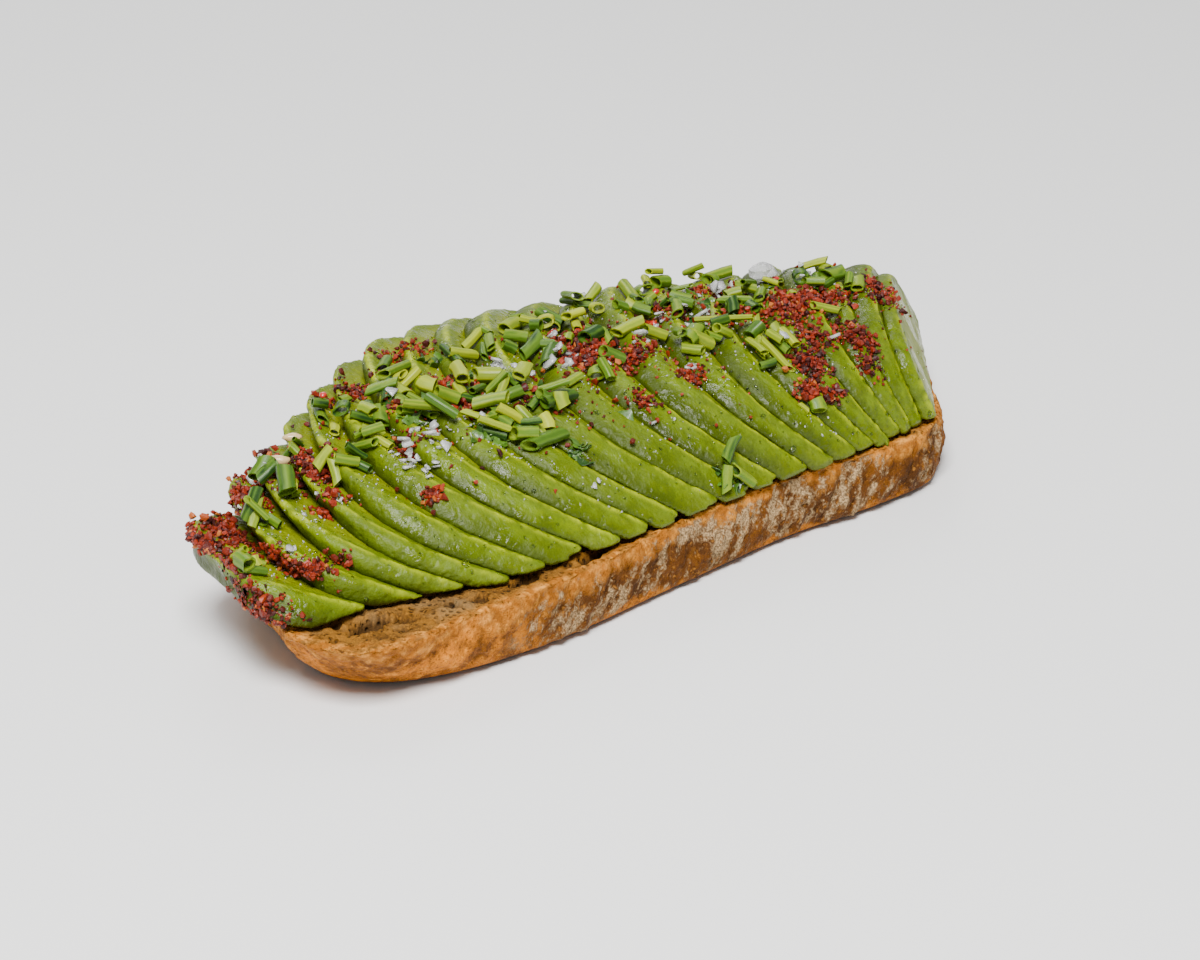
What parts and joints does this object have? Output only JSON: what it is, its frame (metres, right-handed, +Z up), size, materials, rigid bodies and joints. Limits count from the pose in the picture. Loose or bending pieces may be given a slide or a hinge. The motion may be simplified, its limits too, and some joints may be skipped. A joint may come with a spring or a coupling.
{
  "type": "avocado toast",
  "caption": "Avocado toast: a crusty slice of toasted country bread under a leaning fan of thin avocado slices, with chopped chives, sumac and flaked salt.",
  "frame": {"origin": "on the flat base of the bread, under the middle of the whole", "axes": "+X along the toast towards its wide end where the slices stand up, +Y to the back, +Z up"},
  "size_m": [0.212, 0.0944, 0.0423],
  "materials": {
    "toasted_bread": "toasted crumb and floury browned crust",
    "avocado_flesh": "moist ripe flesh, yellow-green inside and greener at the rim",
    "flaked_salt": "cloudy white crystal"
  },
  "bodies": {
    "root": {"bread": "toasted_bread", "avocado_slice_01": "avocado_flesh", "avocado_slice_02": "avocado_flesh", "avocado_slice_03": "avocado_flesh", "avocado_slice_04": "avocado_flesh", "avocado_slice_05": "avocado_flesh", "avocado_slice_06": "avocado_flesh", "avocado_slice_07": "avocado_flesh", "avocado_slice_08": "avocado_flesh", "avocado_slice_09": "avocado_flesh", "avocado_slice_10": "avocado_flesh", "avocado_slice_11": "avocado_flesh", "avocado_slice_12": "avocado_flesh", "avocado_slice_13": "avocado_flesh", "avocado_slice_14": "avocado_flesh", "avocado_slice_15": "avocado_flesh", "avocado_slice_16": "avocado_flesh", "avocado_slice_17": "avocado_flesh", "avocado_slice_18": "avocado_flesh", "avocado_slice_19": "avocado_flesh", "avocado_slice_20": "avocado_flesh", "avocado_slice_21": "avocado_flesh", "salt_flake": "flaked_salt"}
  },
  "joints": []
}
